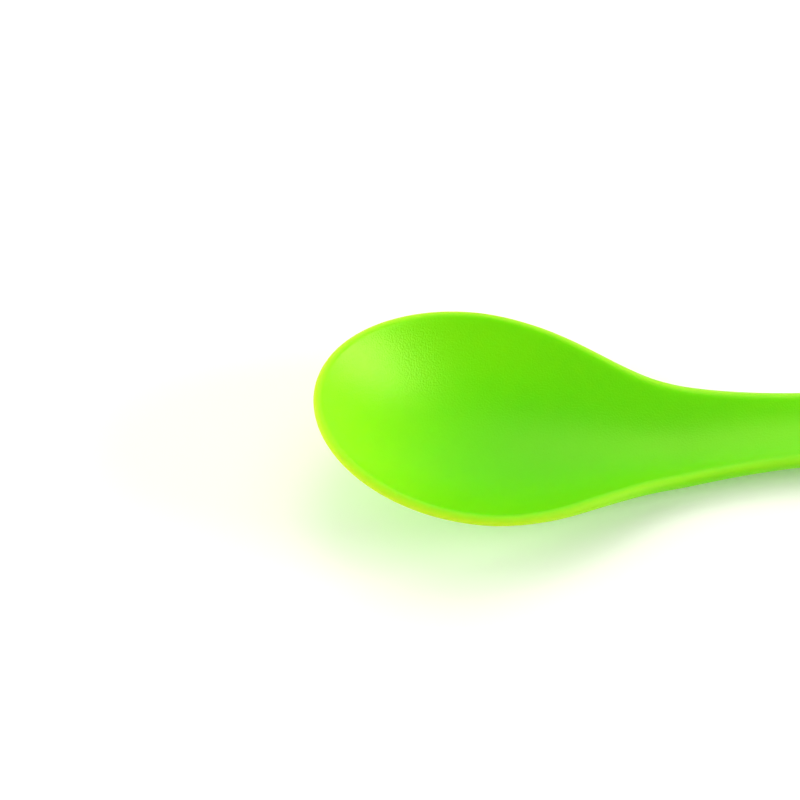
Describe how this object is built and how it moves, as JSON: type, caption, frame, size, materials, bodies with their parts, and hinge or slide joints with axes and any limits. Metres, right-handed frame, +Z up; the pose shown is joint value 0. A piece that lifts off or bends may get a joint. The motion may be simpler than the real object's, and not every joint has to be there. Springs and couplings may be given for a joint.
{
  "type": "spork",
  "caption": "Double-ended moulded plastic spork: a deep spoon bowl and a fork with a serrated outer tine, joined by a waisted, dished handle.",
  "frame": {"origin": "middle of the bounding box, on the table that the two necks rest on", "axes": "+X along the spork from the spoon tip to the fork tips, +Y to the side of the serrated tine, +Z up out of the bowl"},
  "size_m": [0.17, 0.038, 0.0181],
  "materials": {
    "lime_plastic": "satin, slightly translucent lime green with a fine moulded grain"
  },
  "bodies": {
    "root": {"spork_body": "lime_plastic"}
  },
  "joints": []
}
